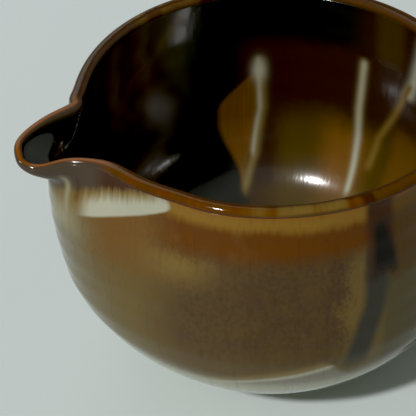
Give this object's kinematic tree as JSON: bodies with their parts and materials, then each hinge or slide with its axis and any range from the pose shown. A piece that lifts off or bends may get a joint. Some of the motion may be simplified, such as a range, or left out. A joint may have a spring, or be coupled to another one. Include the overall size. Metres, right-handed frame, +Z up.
{
  "type": "spouted sake bowl",
  "caption": "Open round stoneware sake bowl with a pulled pouring spout, rolled lip, dark glazed inside, amber iron glaze outside and a turned foot ring.",
  "frame": {"origin": "centre of the foot ring's standing face", "axes": "+Z up out of the open mouth, the spout points along -X"},
  "size_m": [0.1178, 0.1045, 0.0794],
  "materials": {
    "clay": "fired stoneware body",
    "spout_clay": "fired stoneware body",
    "foot_clay": "bare fired stoneware",
    "inside_glaze": "high gloss near-black iron glaze with amber runs",
    "outside_glaze": "gloss amber and olive iron glaze",
    "rim_glaze": "gloss thin rust-brown glaze",
    "foot_glaze": "gloss brown glaze"
  },
  "bodies": {
    "root": {"bowl_wall": "clay", "spout": "spout_clay", "foot_ring": "foot_clay", "inside_glaze": "inside_glaze", "outside_glaze": "outside_glaze", "rim_glaze": "rim_glaze", "foot_glaze": "foot_glaze"}
  },
  "joints": []
}
